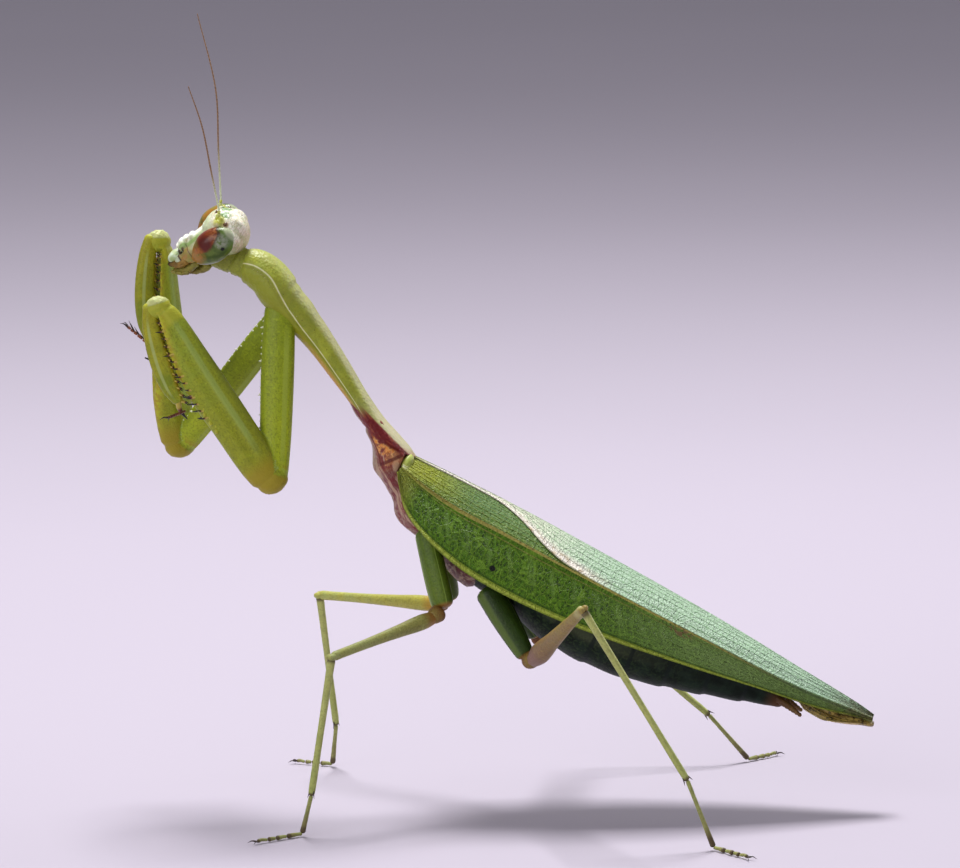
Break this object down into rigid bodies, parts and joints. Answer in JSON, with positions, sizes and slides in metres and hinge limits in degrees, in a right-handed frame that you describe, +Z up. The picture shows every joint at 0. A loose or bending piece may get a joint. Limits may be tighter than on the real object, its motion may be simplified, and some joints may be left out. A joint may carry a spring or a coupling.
{
  "type": "praying mantis model",
  "caption": "Life-size still model of a green praying mantis standing on its walking legs, with raised folded forelegs and wings closed along its back.",
  "frame": {"origin": "middle of the model's box in plan, at the level of the soles of its feet", "axes": "+Z up from the floor, -X the way the insect faces, +Y to its right"},
  "size_m": [0.076, 0.052, 0.0794],
  "materials": {
    "eye": "glossy compound eye, rust brown to green",
    "antenna": "fine matt feeler",
    "amber_wing": "translucent folded membrane",
    "leaf_green": "satin leathery green",
    "yellow_green": "satin yellow green cuticle",
    "olive": "satin olive cuticle",
    "pale_green": "pearly pale green",
    "rose_brown": "satin reddish cuticle",
    "dark_green": "matt dark green underside"
  },
  "bodies": {
    "root": {"abdomen": "dark_green", "antenna_left": "antenna", "antenna_right": "antenna", "cercus_left": "olive", "cercus_right": "olive", "eye_left": "eye", "eye_right": "eye", "fore_left_coxa": "yellow_green", "fore_left_femur": "leaf_green", "fore_left_tarsus": "rose_brown", "fore_left_tibia": "leaf_green", "fore_right_coxa": "yellow_green", "fore_right_femur": "leaf_green", "fore_right_tarsus": "rose_brown", "fore_right_tibia": "leaf_green", "forewing_left": "leaf_green", "forewing_right": "pale_green", "head": "pale_green", "hind_left_coxa": "olive", "hind_left_femur": "yellow_green", "hind_left_foot": "yellow_green", "hind_left_tibia": "yellow_green", "hind_right_coxa": "olive", "hind_right_femur": "yellow_green", "hind_right_foot": "yellow_green", "hind_right_tibia": "yellow_green", "hindwing_left": "amber_wing", "hindwing_right": "amber_wing", "mesothorax": "rose_brown", "metathorax": "rose_brown", "mid_left_coxa": "olive", "mid_left_femur": "yellow_green", "mid_left_foot": "yellow_green", "mid_left_tibia": "yellow_green", "mid_right_coxa": "olive", "mid_right_femur": "yellow_green", "mid_right_foot": "yellow_green", "mid_right_tibia": "yellow_green", "mouthparts": "olive", "neck": "yellow_green", "pronotum": "yellow_green"}
  },
  "joints": []
}
